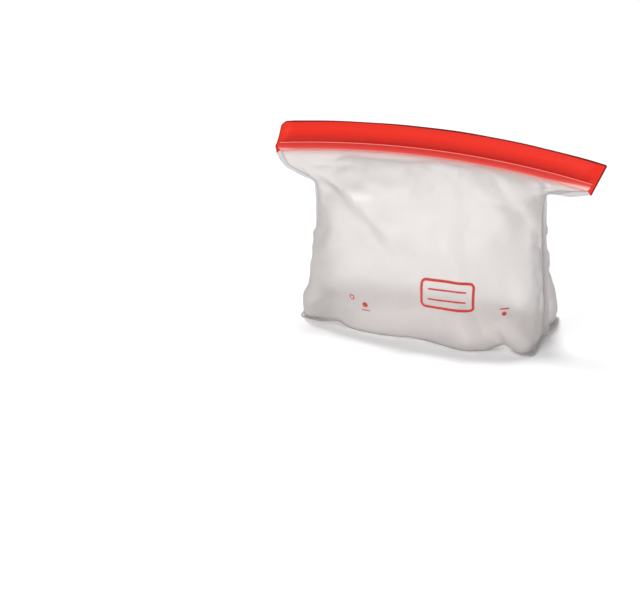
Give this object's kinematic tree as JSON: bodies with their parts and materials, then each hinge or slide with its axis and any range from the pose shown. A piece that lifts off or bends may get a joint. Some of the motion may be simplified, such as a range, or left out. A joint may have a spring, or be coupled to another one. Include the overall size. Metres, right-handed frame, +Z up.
{
  "type": "reusable food storage bag",
  "caption": "Frosted stand-up food bag with a bottom gusset and a red press-to-close zip made of two flexible strips that part to open the mouth.",
  "frame": {"origin": "middle of the footprint, on the floor under the opened gusset", "axes": "+X along the zip towards its right end seen from the front, -Y out of the front panel, +Z up"},
  "size_m": [0.2181, 0.0791, 0.1301],
  "materials": {
    "frosted_film": "frosted, soft sheen, translucent",
    "film_weld": "frosted, two layers fused, translucent",
    "film_on_flange": "frosted film fused over the red flange",
    "red_silicone": "satin"
  },
  "bodies": {
    "bag_body": {"front_panel": "frosted_film", "back_panel": "frosted_film", "bottom_gusset": "frosted_film", "left_side_seam": "film_weld", "right_side_seam": "film_weld", "front_base_seam": "film_weld", "back_base_seam": "film_weld", "left_zip_end_weld": "red_silicone", "right_zip_end_weld": "red_silicone"},
    "front_lip": {"front_zip_strip": "red_silicone", "front_zip_seam": "film_on_flange"},
    "back_lip": {"back_zip_strip": "red_silicone", "back_zip_seam": "film_on_flange"}
  },
  "joints": [
    {"name": "front_lip_open", "type": "slide", "parent": "bag_body", "child": "front_lip", "axis": [0.0627, -0.9828, 0.1735], "range_m": [0, 0.02]},
    {"name": "back_lip_open", "type": "slide", "parent": "bag_body", "child": "back_lip", "axis": [-0.0627, 0.9828, -0.1735], "range_m": [0, 0.02]}
  ]
}
